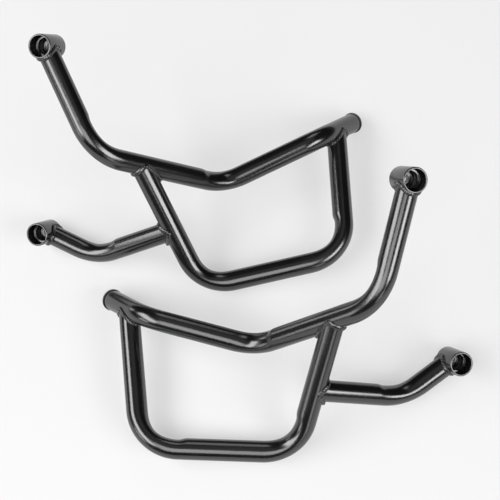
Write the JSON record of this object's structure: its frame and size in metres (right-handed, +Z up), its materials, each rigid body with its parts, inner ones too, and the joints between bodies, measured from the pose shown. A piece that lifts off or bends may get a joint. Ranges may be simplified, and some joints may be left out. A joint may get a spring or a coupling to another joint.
{
  "type": "motorcycle crash bars",
  "caption": "Left and right bent tubular steel crash bars, each with a welded loop, a stay, mounting bosses and a plugged end, lying side by side.",
  "frame": {"origin": "centre of the pair's box at floor level, with both bars lying as they come to rest", "axes": "+X along the pair, from the front end of the left bar to its bosses; +Y from the left bar towards the right bar; +Z up"},
  "size_m": [0.5444, 0.4692, 0.2467],
  "materials": {
    "powder_coat": "semi-gloss black powder coat on steel",
    "plug_plastic": "matte black"
  },
  "bodies": {
    "root": {"left_main_tube": "powder_coat", "left_loop_tube": "powder_coat", "left_stay_tube": "powder_coat", "left_upper_boss": "powder_coat", "left_lower_boss": "powder_coat", "left_end_plug": "plug_plastic", "left_upper_boss_weld": "powder_coat", "left_lower_boss_weld": "powder_coat", "left_loop_front_weld": "powder_coat", "left_loop_rear_weld": "powder_coat", "left_stay_weld": "powder_coat", "right_main_tube": "powder_coat", "right_loop_tube": "powder_coat", "right_stay_tube": "powder_coat", "right_upper_boss": "powder_coat", "right_lower_boss": "powder_coat", "right_end_plug": "plug_plastic", "right_upper_boss_weld": "powder_coat", "right_lower_boss_weld": "powder_coat", "right_loop_front_weld": "powder_coat", "right_loop_rear_weld": "powder_coat", "right_stay_weld": "powder_coat"}
  },
  "joints": []
}
